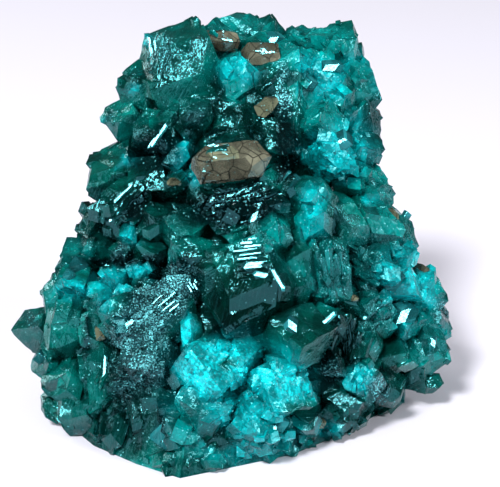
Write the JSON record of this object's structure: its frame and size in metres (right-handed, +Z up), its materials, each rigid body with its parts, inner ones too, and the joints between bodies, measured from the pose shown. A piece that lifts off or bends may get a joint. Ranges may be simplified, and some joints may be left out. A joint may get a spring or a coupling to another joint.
{
  "type": "dioptase crystal cluster",
  "caption": "Free-standing lump of deep green, intergrown dioptase crystals, narrower above, flat below where it was cut from its rock.",
  "frame": {"origin": "middle of the lump's box, on the flat cut it rests on", "axes": "+Z up, -Y towards the side that is put on show, +X to the right of someone looking at that side"},
  "size_m": [0.0454, 0.0382, 0.0386],
  "materials": {
    "dioptase": "translucent deep teal crystal, glassy on smooth faces, sugary and pale on rough ones"
  },
  "bodies": {
    "root": {"dioptase_cluster": "dioptase"}
  },
  "joints": []
}
